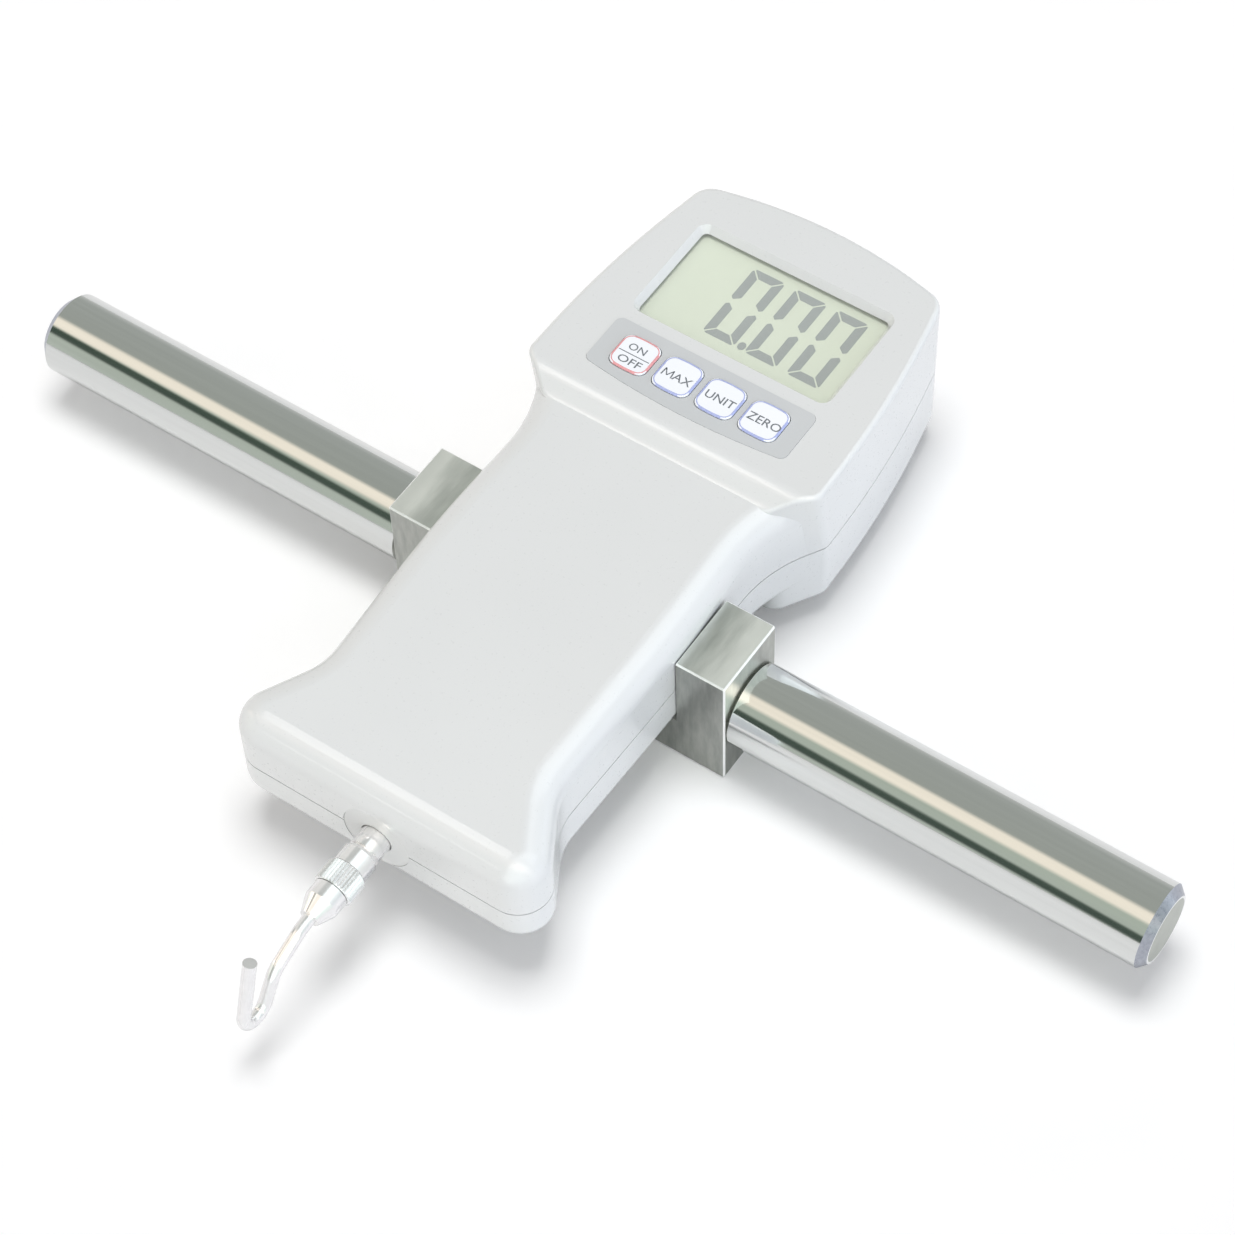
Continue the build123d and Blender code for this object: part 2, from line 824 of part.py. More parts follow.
def battery_cells():
    """Cylindrical cells lying across the head, with opposite polarity."""
    cells = []
    for index in range(cell_count):
        side = 1 if index % 2 == 0 else -1
        plane = Plane(
            origin=place(-side * cell_length / 2, cell_station(index), cell_axis_height),
            x_dir=(0, 1, 0),
            z_dir=(side, 0, 0),
        )
        body = extrude(Circle(cell_dia / 2), cell_length - terminal_length)
        body = chamfer(body.edges(), 0.4)
        cells.append(plane * (body + extrude(Circle(terminal_dia / 2), cell_length)))
    return Compound(children=cells)


def battery_contacts():
    """Plates on the box's end walls with a button reaching each end of each cell."""
    contacts = []
    for index in range(cell_count):
        for side in (-1, 1):
            plane = Plane(
                origin=place(side * battery_half_width, cell_station(index), cell_axis_height),
                x_dir=(0, 1, 0),
                z_dir=(-side, 0, 0),
            )
            plate = extrude(Rectangle(contact_width, contact_width), contact_thickness)
            button = extrude(Circle(contact_spring_dia / 2), contact_stack)
            contacts.append(plane * (plate + button))
    return Compound(children=contacts)


def battery_cover():
    """Screwed cover flush with the back, with finger grooves."""
    cover = slab(cover_plan(0), head_underside_height, cover_top_height)
    middle = battery_box_station + battery_box_length - cover_groove_pitch * cover_groove_count
    for index in range(cover_groove_count):
        start = middle + index * cover_groove_pitch
        low = head_underside_height - 1.0
        high = head_underside_height + cover_groove_depth
        cover -= cuboid(cover_groove_length / 2, start, start + cover_groove_width, low, high)
    for x, station in cover_screw_places():
        seat = head_underside_height + cover_screw_head_height
        cover -= rod_z(cover_screw_head_dia + 2 * screw_clearance, x, station, 0, seat)
        cover -= rod_z(cover_screw_dia + 2 * screw_clearance, x, station, 0, cover_top_height + 1.0)
    return cover


def cover_screws():
    """Screws through the battery cover."""
    screws = []
    seat = head_underside_height + cover_screw_head_height
    for x, station in cover_screw_places():
        head = rod_z(cover_screw_head_dia, x, station, head_underside_height + 0.1, seat)
        shank = rod_z(cover_screw_dia, x, station, seat, cover_top_height + cover_screw_depth)
        slot = cross_slot(x, station, head_underside_height + 0.1, cover_screw_head_dia)
        screws.append(head + shank - slot)
    return Compound(children=screws)


# ================================================================ load cell and spindle
def load_cell():
    """S-shaped beam: two slots from opposite sides and a weakened middle."""
    start = load_cell_station
    end = start + load_cell_length
    low = axis_height - load_cell_height / 2
    high = axis_height + load_cell_height / 2
    beam = cuboid(load_cell_width / 2, start, end, low, high)
    slot_centre = load_cell_width / 2 - load_cell_slot_reach / 2
    front_slot = start + load_cell_arm + load_cell_slot_width / 2
    rear_slot = end - load_cell_arm - load_cell_slot_width / 2
    for side, station in ((-1, front_slot), (1, rear_slot)):
        centre = place(side * slot_centre, station, axis_height)
        reach = load_cell_slot_reach + 1.0
        beam -= Pos(centre + Vector(side * 0.5, 0, 0)) * Box(reach, load_cell_slot_width, 2 * load_cell_height)
    middle = (start + end) / 2
    for side in (-1, 1):
        beam -= rod_z(load_cell_hole_dia, side * load_cell_hole_spacing / 2, middle, 0, head_face_height)
    bridge = Box(load_cell_hole_spacing, load_cell_hole_bridge, 2 * load_cell_height)
    beam -= Pos(place(0, middle, axis_height)) * bridge
    tail_bore = spindle_tail_dia + 2 * running_clearance
    tail_depth = spindle_tail_length + 2 * stop_gap
    beam -= rod_y(tail_bore, start - 1.0, start + tail_depth)
    for side in (-1, 1):
        x = side * anchor_screw_spacing / 2
        beam -= rod_y(anchor_screw_dia, end - anchor_screw_in_cell - 0.3, end + 1.0, axis_height, x)
    return beam


def load_cell_anchor():
    """Metal block on the rear shell's floor; the bracket screws pull it down."""
    start = anchor_station
    end = start + anchor_length
    high = axis_height + anchor_above_axis
    anchor = cuboid(anchor_half_width, start, end, anchor_floor, high)
    anchor = chamfer(anchor.edges().filter_by(Axis.Z), 1.0)
    for side in (-1, 1):
        x = side * anchor_screw_spacing / 2
        anchor -= rod_y(anchor_screw_dia + 2 * screw_clearance, start - 1.0, end + 1.0, axis_height, x)
        head_bore = anchor_screw_head_dia + 2 * screw_clearance
        anchor -= rod_y(head_bore, end - anchor_screw_head_height, end + 1.0, axis_height, x)
    for x, station in bracket_screw_places():
        depth = anchor_floor + bracket_screw_grip + 0.5
        anchor -= rod_z(bracket_screw_dia, x, station, anchor_floor - 1.0, depth)
    return anchor


def anchor_screws():
    """Socket-head screws that hold the load cell against the anchor."""
    screws = []
    end = anchor_station + anchor_length
    seat = end - anchor_screw_head_height
    for side in (-1, 1):
        x = side * anchor_screw_spacing / 2
        head = rod_y(anchor_screw_head_dia, seat, end, axis_height, x)
        shank = rod_y(anchor_screw_dia, anchor_station - anchor_screw_in_cell, seat, axis_height, x)
        plane = Plane(origin=place(x, end, axis_height), x_dir=(1, 0, 0), z_dir=(0, -1, 0))
        socket = plane * extrude(RegularPolygon(0.28 * anchor_screw_head_dia, 6), 0.5 * anchor_screw_head_height)
        screws.append(head + shank - socket)
    return Compound(children=screws)


def stop_plate():
    """Overload stop: a plate across the grip that the spindle runs through."""
    bore = spindle_shaft_dia + 2 * running_clearance
    end = stop_plate_station + stop_plate_thickness
    return stop_plate_blank() - rod_y(bore, stop_plate_station - 1.0, end + 1.0)


def stop_nut():
    """Hexagon nut on the spindle behind the stop plate."""
    start = stop_plate_station + stop_plate_thickness + stop_gap
    plane = Plane(origin=place(0, start, axis_height), x_dir=(1, 0, 0), z_dir=(0, 1, 0))
    nut = plane * extrude(RegularPolygon(stop_nut_flats / 2, 6, major_radius=False), stop_nut_thickness)
    return nut - rod_y(spindle_shaft_dia, start - 1.0, start + stop_nut_thickness + 1.0)


def spindle():
    """Spindle from the load cell, through the stop plate, to the thread for adapters."""
    shoulder_end = stop_plate_station - stop_gap
    shoulder_start = shoulder_end - spindle_shoulder_length
    shaft_end = load_cell_station - stop_gap
    thread_end = socket_start - socket_thread_depth
    bar = rod_y(spindle_stub_dia, -spindle_stub_length, shoulder_start)
    bar += rod_y(spindle_shoulder_dia, shoulder_start, shoulder_end)
    bar += rod_y(spindle_shaft_dia, shoulder_end, shaft_end)
    bar += rod_y(spindle_tail_dia, shaft_end, shaft_end + spindle_tail_length)
    return bar + rod_y(thread_dia, -spindle_stub_length, thread_end)


def nose_disc():
    """Disc pressed into the nose around the spindle."""
    front = nose_disc_recess - nose_disc_thickness
    disc = rod_y(nose_disc_dia, front, nose_disc_recess)
    disc += rod_y(nose_disc_hub_dia, front, nose_disc_recess + nose_disc_hub_length)
    return disc - rod_y(nose_disc_bore_dia, -1.0, 2 * wall + nose_disc_recess + nose_disc_hub_length)


def coupling_collar():
    """Collar locked on the spindle's thread."""
    profile = [
        (thread_dia / 2, collar_start),
        (spindle_stub_dia / 2 - 0.4, collar_start),
        (collar_dia / 2, collar_start - collar_chamfer),
        (collar_dia / 2, collar_end),
        (thread_dia / 2, collar_end),
    ]
    return turned(profile)


def knurled_nut():
    """Straight-knurled lock nut."""
    outer = nut_dia / 2
    points = []
    for index in range(2 * knurl_count):
        angle = math.pi * index / knurl_count
        radius = outer if index % 2 == 0 else outer - knurl_depth
        points.append((radius * math.cos(angle), radius * math.sin(angle)))
    plane = Plane(origin=place(0, nut_end, axis_height), x_dir=(1, 0, 0), z_dir=(0, 1, 0))
    toothed = plane * extrude(make_face(Polyline(points, close=True)), nut_length)
    bore = thread_dia / 2 + running_clearance
    envelope = turned(
        [
            (bore, nut_start),
            (outer - nut_edge_chamfer, nut_start),
            (outer, nut_start - nut_edge_chamfer),
            (outer, nut_end + nut_edge_chamfer),
            (outer - nut_edge_chamfer, nut_end),
            (bore, nut_end),
        ]
    )
    return toothed & envelope


def hook_socket():
    """Conical body that joins the hook to the spindle's thread."""
    bore = thread_dia / 2 + running_clearance
    web_start = socket_start - socket_thread_depth - socket_web
    profile = [
        (bore, socket_start),
        (socket_dia / 2, socket_start),
        (socket_dia / 2, socket_shoulder),
        (socket_tip_dia / 2, socket_end),
        (0, socket_end),
        (0, web_start),
        (bore, web_start),
    ]
    return turned(profile) - rod_y(hook_dia, socket_end - 1.0, socket_end + hook_root_depth)


def hook_path():
    """Centreline of the hook as a chain of straight and bent runs in the plane x = 0."""
    runs = [
        (hook_root_depth + hook_lead, 0, 0),
        (0, hook_first_bend_radius, hook_first_bend),
        (hook_shank_length, 0, 0),
        (0, hook_second_bend_radius, hook_second_bend),
        (hook_drop_length, 0, 0),
        (0, hook_turn_radius, -(hook_first_bend + hook_second_bend + 90 + hook_lean_back)),
        (hook_tip_length, 0, 0),
    ]
    point = place(0, socket_end + hook_root_depth, axis_height)
    heading = 0.0
    pieces = []
    for length, radius, bend in runs:
        if length:
            end = point + heading_vector(heading) * length
            pieces.append(Line(point, end))
            point = end
            continue
        side = 1 if bend > 0 else -1
        centre = point + heading_vector(heading + side * 90) * radius
        middle = centre + heading_vector(heading + bend / 2 - side * 90) * radius
        end = centre + heading_vector(heading + bend - side * 90) * radius
        pieces.append(ThreePointArc(point, middle, end))
        point = end
        heading += bend
    return Wire(pieces)


def heading_vector(angle):
    """Unit vector in the plane x = 0: 0 degrees is straight ahead, positive turns down."""
    turn = math.radians(angle)
    return Vector(0, -math.cos(turn), -math.sin(turn))


def hook():
    """Bent-wire hook with a flat end."""
    path = hook_path()
    start = place(0, socket_end + hook_root_depth, axis_height)
    section = Plane(origin=start, x_dir=(1, 0, 0), z_dir=(0, -1, 0)) * Circle(hook_dia / 2)
    return sweep(section, path=path)


# ================================================================ bracket and handles
def handle_bracket():
    """U-shaped bracket under and beside the grip."""
    outer_face = Rectangle(2 * upright_outer_x, bracket_height, align=(Align.CENTER, Align.MIN))
    inner_height = bracket_height - bar_height
    inner_face = Pos(0, bar_height) * Rectangle(2 * upright_inner_x, 2 * inner_height, align=(Align.CENTER, Align.MIN))
    plane = Plane(origin=(0, bracket_depth / 2, 0), x_dir=(1, 0, 0), z_dir=(0, -1, 0))
    bracket = plane * extrude(outer_face - inner_face, bracket_depth)
    outer_edges = bracket.edges().filter_by(lambda edge: abs(edge.center().X) > upright_inner_x + 0.1)
    bracket = chamfer(outer_edges, bracket_edge_chamfer)
    for side in (-1, 1):
        start = side * (upright_inner_x + handle_stud_setback)
        bracket -= rod_x(handle_stud_dia, start, side * (upright_outer_x + 1.0), handle_axis_height)
    for x, station in bracket_screw_places():
        seat = bracket_screw_head_height + bracket_screw_head_setback
        bracket -= rod_z(bracket_screw_head_dia + 2 * screw_clearance, x, station, -1.0, seat)
        bracket -= rod_z(bracket_screw_dia + 2 * screw_clearance, x, station, -1.0, bar_height + 1.0)
    return bracket


def bracket_screws():
    """Socket-head screws from the bracket's underside into the anchor."""
    screws = []
    low = bracket_screw_head_setback
    seat = low + bracket_screw_head_height
    for x, station in bracket_screw_places():
        head = rod_z(bracket_screw_head_dia, x, station, low, seat)
        shank = rod_z(bracket_screw_dia, x, station, seat, anchor_floor + bracket_screw_grip)
        socket_face = RegularPolygon(0.28 * bracket_screw_head_dia, 6)
        socket = Pos(place(x, station, low)) * extrude(socket_face, 0.5 * bracket_screw_head_height)
        screws.append(head + shank - socket)
    return Compound(children=screws)


def handle(side):
    """Round bar handle on one side, bored for its stud."""
    start = side * upright_outer_x
    end = side * (upright_outer_x + handle_length)
    bar = rod_x(handle_dia, start, end, handle_axis_height)
    inner_edge = bar.edges().sort_by(Axis.X)[0 if side > 0 else -1]
    outer_edge = bar.edges().sort_by(Axis.X)[-1 if side > 0 else 0]
    bar = chamfer(outer_edge, handle_outer_chamfer)
    inner_edges = bar.edges().filter_by(lambda edge: abs(edge.center().X - start) < 0.01)
    bar = chamfer(inner_edges, handle_inner_chamfer)
    bore_end = side * (upright_outer_x + handle_stud_in_handle + 0.5)
    return bar - rod_x(handle_stud_dia, start - side, bore_end, handle_axis_height)


def handle_studs():
    """Studs between the bracket and the handles."""
    studs = []
    for side in (-1, 1):
        start = side * (upright_inner_x + handle_stud_setback)
        end = side * (upright_outer_x + handle_stud_in_handle)
        studs.append(rod_x(handle_stud_dia, start, end, handle_axis_height))
    return Compound(children=studs)


# ================================================================ output
def save(name, shape):
    """Write one piece."""
    export_step(shape, "parts/" + name + ".step")


def main():
    """Build and write every piece."""
    os.makedirs("parts", exist_ok=True)
    outer = housing_form(0.0)
    skin = housing_form(seam_depth)
    inner = housing_form(wall)
    save("front_shell", front_shell(outer, inner, skin))
    save("rear_shell", rear_shell(outer, inner, skin))
    save("housing_screws", housing_screws())
    save("display_window", display_window())
    save("lcd_panel", lcd_panel())
    save("lcd_frame", lcd_frame())
    save("keypad_panel", keypad_panel())
    for index, name in enumerate(key_names):
        save(name, key(index))
    for index, name in enumerate(dome_names):
        save(name, dome(index))
    save("main_board", main_board())
    save("board_screws", board_screws())
    save("battery_cells", battery_cells())
    save("battery_contacts", battery_contacts())
    save("battery_cover", battery_cover())
    save("cover_screws", cover_screws())
    save("load_cell", load_cell())
    save("load_cell_anchor", load_cell_anchor())
    save("anchor_screws", anchor_screws())
    save("stop_plate", stop_plate())
    save("stop_nut", stop_nut())
    save("spindle", spindle())
    save("nose_disc", nose_disc())
    save("coupling_collar", coupling_collar())
    save("knurled_nut", knurled_nut())
    save("hook_socket", hook_socket())
    save("hook", hook())
    save("handle_bracket", handle_bracket())
    save("bracket_screws", bracket_screws())
    save("handle_left", handle(-1))
    save("handle_right", handle(1))
    save("handle_studs", handle_studs())


main()
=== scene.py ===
import bmesh
import bpy
import math
from mathutils import Matrix, Vector


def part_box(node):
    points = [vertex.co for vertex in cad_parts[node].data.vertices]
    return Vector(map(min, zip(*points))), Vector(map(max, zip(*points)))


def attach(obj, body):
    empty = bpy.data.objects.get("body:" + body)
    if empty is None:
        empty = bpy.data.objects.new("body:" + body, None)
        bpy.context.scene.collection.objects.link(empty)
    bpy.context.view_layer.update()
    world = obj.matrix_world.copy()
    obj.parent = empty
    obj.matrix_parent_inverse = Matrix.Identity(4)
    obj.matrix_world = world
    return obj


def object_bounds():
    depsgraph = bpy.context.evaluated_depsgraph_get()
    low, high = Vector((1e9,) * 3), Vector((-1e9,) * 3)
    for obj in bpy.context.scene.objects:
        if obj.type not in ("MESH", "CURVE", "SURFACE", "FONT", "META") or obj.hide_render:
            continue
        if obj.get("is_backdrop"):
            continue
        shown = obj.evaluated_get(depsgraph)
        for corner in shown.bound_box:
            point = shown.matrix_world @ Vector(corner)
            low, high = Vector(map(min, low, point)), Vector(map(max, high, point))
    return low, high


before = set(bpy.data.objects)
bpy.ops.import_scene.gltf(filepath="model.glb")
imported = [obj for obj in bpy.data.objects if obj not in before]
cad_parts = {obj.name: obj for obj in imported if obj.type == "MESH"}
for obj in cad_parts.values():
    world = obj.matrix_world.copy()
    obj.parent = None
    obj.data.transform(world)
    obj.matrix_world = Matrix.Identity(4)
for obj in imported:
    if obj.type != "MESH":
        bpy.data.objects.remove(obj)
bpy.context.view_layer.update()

MM = 0.001
BRACKET_STATION = 81.0
KEY_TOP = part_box("key_power")[1].z / MM
LCD_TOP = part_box("lcd_panel")[1].z / MM
KEYPAD_STATION = 131.4
KEY_PITCH = 12.12
KEY_HALF_WIDTH = 5.1
KEY_HALF_HEIGHT = 4.7
KEY_BULGE = 0.4
KEY_CORNER_RADIUS = 2.2
SMALLEST_CORNER = 0.6
PRINT_LIFT = 0.02
END_CHAMFER = 2.0 * MM
BAR_INNER_HALF = 0.1
BLOCK_INNER_X = 0.036


def at(x, station, z):
    """Row-frame point in metres from half-width, station and height in millimetres."""
    return Vector((x * MM, (station - BRACKET_STATION) * MM, z * MM))


# ---------------------------------------------------------------- material helpers
def new_material(name):
    """Empty node material with one Principled shader."""
    mat = bpy.data.materials.new(name)
    mat.use_nodes = True
    nodes = mat.node_tree.nodes
    links = mat.node_tree.links
    nodes.clear()
    out = nodes.new("ShaderNodeOutputMaterial")
    shader = nodes.new("ShaderNodeBsdfPrincipled")
    links.new(shader.outputs["BSDF"], out.inputs["Surface"])
    return mat, nodes, links, shader


def coordinates(nodes, links, stretch=(1, 1, 1)):
    """Object coordinates, stretched along the axes."""
    coord = nodes.new("ShaderNodeTexCoord")
    mapping = nodes.new("ShaderNodeMapping")
    mapping.inputs["Scale"].default_value = stretch
    links.new(coord.outputs["Object"], mapping.inputs["Vector"])
    return mapping.outputs["Vector"]


def noise(nodes, links, vector, scale, detail=3.0, rough=0.55):
    """Noise between 0 and 1."""
    tex = nodes.new("ShaderNodeTexNoise")
    tex.inputs["Scale"].default_value = scale
    tex.inputs["Detail"].default_value = detail
    tex.inputs["Roughness"].default_value = rough
    links.new(vector, tex.inputs["Vector"])
    return tex.outputs["Fac"]


def ramp(nodes, links, fac, low, high, start=0.35, end=0.65):
    """Colour that goes from low to high between two values of fac."""
    node = nodes.new("ShaderNodeValToRGB")
    node.color_ramp.elements[0].position = start
    node.color_ramp.elements[0].color = (*low, 1)
    node.color_ramp.elements[1].position = end
    node.color_ramp.elements[1].color = (*high, 1)
    links.new(fac, node.inputs["Fac"])
    return node.outputs["Color"]


def math_node(nodes, links, operation, first, second=None, third=None):
    """Maths node on sockets or numbers."""
    node = nodes.new("ShaderNodeMath")
    node.operation = operation
    for index, value in enumerate((first, second, third)):
        if value is None:
            continue
        if isinstance(value, (int, float)):
            node.inputs[index].default_value = value
        else:
            links.new(value, node.inputs[index])
    return node.outputs[0]


def stripes(nodes, links, fac, stops):
    """Colour ramp through (position, colour) stops."""
    node = nodes.new("ShaderNodeValToRGB")
    band = node.color_ramp.elements
    while len(band) < len(stops):
        band.new(1.0)
    for element, (position, colour) in zip(band, stops):
        element.position = position
    for element, (position, colour) in zip(band, stops):
        element.color = (*colour, 1)
    links.new(fac, node.inputs["Fac"])
    return node.outputs["Color"]


def mixed(nodes, links, fac, first, second, blend_type="MIX"):
    """Colour mix of two sockets."""
    node = nodes.new("ShaderNodeMix")
    node.data_type = "RGBA"
    node.blend_type = blend_type
    if isinstance(fac, (int, float)):
        node.inputs["Factor"].default_value = fac
    else:
        links.new(fac, node.inputs["Factor"])
    sockets = [socket for socket in node.inputs if socket.type == "RGBA"]
    links.new(first, sockets[0])
    links.new(second, sockets[1])
    return [socket for socket in node.outputs if socket.type == "RGBA"][0]


def grey(nodes, links, value):
    """Grey colour from one number."""
    node = nodes.new("ShaderNodeCombineColor")
    for channel in ("Red", "Green", "Blue"):
        links.new(value, node.inputs[channel])
    return node.outputs["Color"]


def span(nodes, links, fac, low, high, start=0.3, end=0.7):
    """Number that goes from low to high between two values of fac."""
    node = nodes.new("ShaderNodeMapRange")
    node.inputs["From Min"].default_value = start
    node.inputs["From Max"].default_value = end
    node.inputs["To Min"].default_value = low
    node.inputs["To Max"].default_value = high
    links.new(fac, node.inputs["Value"])
    return node.outputs["Result"]


def bump(nodes, links, shader, height, strength, distance):
    """Relief from a height socket."""
    node = nodes.new("ShaderNodeBump")
    node.inputs["Strength"].default_value = strength
    node.inputs["Distance"].default_value = distance
    links.new(height, node.inputs["Height"])
    links.new(node.outputs["Normal"], shader.inputs["Normal"])


FINE_TEXTURE = 1400


def moulded(name, dark, light, rough, grain=0.00002, coat=0.0):
    """Moulded plastic: slight tone drift, fine grain and varying gloss."""
    mat, nodes, links, shader = new_material(name)
    vector = coordinates(nodes, links)
    drift = noise(nodes, links, vector, 22.0, 2.0)
    links.new(ramp(nodes, links, drift, dark, light), shader.inputs["Base Color"])
    fine = noise(nodes, links, vector, FINE_TEXTURE, 2.0)
    links.new(span(nodes, links, fine, rough - 0.03, rough + 0.03), shader.inputs["Roughness"])
    bump(nodes, links, shader, fine, 0.25, grain)
    if coat:
        shader.inputs["Coat Weight"].default_value = coat
        shader.inputs["Coat Roughness"].default_value = 0.08
    return mat


def metal(
    name,
    dark,
    light,
    rough,
    stretch=(1, 1, 1),
    scale=900,
    strength=0.2,
    grain=0.00002,
    spread=0.05,
    metallic=1.0,
):
    """Metal with a grain that runs along the axis with the smallest stretch."""
    mat, nodes, links, shader = new_material(name)
    shader.inputs["Metallic"].default_value = metallic
    vector = coordinates(nodes, links, stretch)
    lines = noise(nodes, links, vector, scale, 4.0, 0.6)
    links.new(ramp(nodes, links, lines, dark, light, 0.3, 0.7), shader.inputs["Base Color"])
    links.new(span(nodes, links, lines, rough - spread, rough + spread), shader.inputs["Roughness"])
    bump(nodes, links, shader, lines, strength, grain)
    return mat


def brushed_top_painted_sheen():
    """Top of the blocks: brushed steel, lighter than the block's sides, with painted sheen that lightens
    towards the bars.
    """
    mat, nodes, links, shader = new_material("brushed_top_painted_sheen")
    shader.inputs["Metallic"].default_value = 1.0
    vector = coordinates(nodes, links)
    split = nodes.new("ShaderNodeSeparateXYZ")
    links.new(vector, split.inputs["Vector"])
    outwards = math_node(nodes, links, "ABSOLUTE", split.outputs["X"])
    # Painted sheen: the tone lightens with distance out along x, towards the bars.
    place = span(nodes, links, outwards, 0.05, 0.80, 0.0375, 0.0473)
    cloud = noise(nodes, links, coordinates(nodes, links, (30, 6, 30)), 14, 4.0, 0.6)
    shade = math_node(nodes, links, "MULTIPLY_ADD", cloud, 0.5, place)
    tone = ramp(nodes, links, shade, (0.50, 0.52, 0.49), (1.0, 1.0, 0.97), 0.10, 0.80)
    links.new(tone, shader.inputs["Base Color"])
    links.new(span(nodes, links, cloud, 0.34, 0.42), shader.inputs["Roughness"])
    bump(nodes, links, shader, cloud, 0.2, 0.00001)
    return mat


def turned_end_painted_ring(axis_height, edge_radius):
    """End face of a bar: dull steel with a painted highlight ring inside its edge."""
    mat, nodes, links, shader = new_material("turned_end_painted_ring")
    shader.inputs["Metallic"].default_value = 1.0
    vector = coordinates(nodes, links)
    split = nodes.new("ShaderNodeSeparateXYZ")
    links.new(vector, split.inputs["Vector"])
    across = math_node(nodes, links, "MULTIPLY", split.outputs["Y"], split.outputs["Y"])
    rise = math_node(nodes, links, "SUBTRACT", split.outputs["Z"], axis_height)
    square = math_node(nodes, links, "MULTIPLY_ADD", rise, rise, across)
    radius = math_node(nodes, links, "SQRT", square)
    share = math_node(nodes, links, "DIVIDE", radius, edge_radius)
    cloud = noise(nodes, links, vector, 160, 3.0)
    face = ramp(nodes, links, cloud, (0.47, 0.49, 0.455), (0.53, 0.55, 0.515))
    # Painted highlight: a near-white ring just inside the face's edge.
    painted_highlight_ring = ramp(nodes, links, share, (0, 0, 0), (1, 1, 1), 0.915, 0.94)
    white = ramp(nodes, links, cloud, (0.93, 0.94, 0.95), (0.95, 0.96, 0.97))
    links.new(mixed(nodes, links, painted_highlight_ring, face, white), shader.inputs["Base Color"])
    links.new(span(nodes, links, cloud, 0.36, 0.42), shader.inputs["Roughness"])
    return mat


def clear(name, tint, alpha, rough):
    """Clear sheet that lets most of what lies behind it through."""
    mat, nodes, links, shader = new_material(name)
    vector = coordinates(nodes, links)
    haze = noise(nodes, links, vector, 60.0, 2.0)
    paler = tuple(min(1, c * 1.02) for c in tint)
    links.new(ramp(nodes, links, haze, tint, paler), shader.inputs["Base Color"])
    links.new(span(nodes, links, haze, rough, rough + 0.02), shader.inputs["Roughness"])
    shader.inputs["Alpha"].default_value = alpha
    return mat


def inked(name, dark, light, rough=0.5):
    """Printed ink with a slightly uneven coat."""
    mat, nodes, links, shader = new_material(name)
    vector = coordinates(nodes, links)
    fine = noise(nodes, links, vector, 2500, 2.0)
    links.new(ramp(nodes, links, fine, dark, light), shader.inputs["Base Color"])
    links.new(span(nodes, links, fine, rough - 0.05, rough + 0.05), shader.inputs["Roughness"])
    return mat


housing_mat = moulded("housing_plastic", (0.700, 0.712, 0.704), (0.712, 0.724, 0.716), 0.30, 0.000004, 0.8)
disc_mat = moulded("disc_plastic", (0.690, 0.700, 0.690), (0.715, 0.722, 0.712), 0.35)
keypad_mat = moulded("keypad_film", (0.545, 0.565, 0.568), (0.575, 0.592, 0.595), 0.42)
key_mat = moulded("key_plastic", (0.86, 0.89, 0.93), (0.90, 0.92, 0.95), 0.38)
lcd_mat = moulded("lcd_glass", (0.660, 0.715, 0.575), (0.690, 0.745, 0.605), 0.45)
black_mat = moulded("black_plastic", (0.018, 0.018, 0.020), (0.030, 0.030, 0.032), 0.50)
silicone_mat = moulded("silicone", (0.50, 0.52, 0.54), (0.56, 0.58, 0.60), 0.60)
cell_mat = moulded("cell_wrap", (0.025, 0.045, 0.120), (0.035, 0.060, 0.150), 0.30)
window_mat = clear("clear_window", (0.93, 0.96, 0.92), 0.10, 0.04)
segment_mat = inked("lcd_segment", (0.265, 0.295, 0.285), (0.285, 0.315, 0.305), 0.5)
label_mat = inked("label_ink", (0.150, 0.165, 0.180), (0.175, 0.190, 0.205), 0.5)
red_mat = inked("red_ink", (0.72, 0.32, 0.33), (0.78, 0.37, 0.38), 0.5)
violet_mat = inked("violet_ink", (0.38, 0.43, 0.70), (0.43, 0.48, 0.75), 0.5)
bright_mat = metal(
    "bright_steel", (0.86, 0.85, 0.85), (0.92, 0.91, 0.91), 0.12, scale=400, strength=0.05, metallic=0.72
)
knurl_mat = metal("knurled_steel", (0.80, 0.80, 0.80), (0.90, 0.90, 0.90), 0.24, scale=1500, metallic=0.72)
handle_mat = metal(
    "polished_bar", (0.71, 0.72, 0.71), (0.75, 0.76, 0.75), 0.09, (1, 60, 60), 12, 0.05, 0.000005, 0.015
)
# Darker steel than on the block tops: painted shade on the block's sides.
block_mat = metal(
    "brushed_block", (0.34, 0.35, 0.33), (0.50, 0.51, 0.48), 0.36, (10, 10, 2), 60, 0.3, 0.00002
)
# Lighter steel on the block bevels: painted highlight along the edges.
painted_highlight_edge_mat = metal("edge_painted_highlight", (0.90, 0.91, 0.90), (0.96, 0.97, 0.96), 0.40, metallic=0.6)
# Darker bluish steel on the outer bar chamfers: painted reflection.
chamfer_painted_reflection_mat = metal(
    "chamfer_painted_reflection", (0.36, 0.38, 0.44), (0.46, 0.48, 0.54), 0.30, (40, 40, 40), 30, 0.1, 0.00001
)
screw_mat = metal("fastener_steel", (0.45, 0.46, 0.47), (0.58, 0.59, 0.60), 0.28, scale=800)
spring_mat = metal("spring_steel", (0.55, 0.56, 0.56), (0.68, 0.69, 0.69), 0.30, scale=800)
milled_mat = metal("milled_aluminium", (0.62, 0.63, 0.64), (0.76, 0.77, 0.78), 0.35, (30, 2, 30), 80)
board_mat = moulded("circuit_board", (0.020, 0.110, 0.050), (0.030, 0.150, 0.065), 0.40)


def dress(node, mat):
    """Give a CAD node its one material."""
    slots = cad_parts[node].data.materials
    slots.clear()
    slots.append(mat)


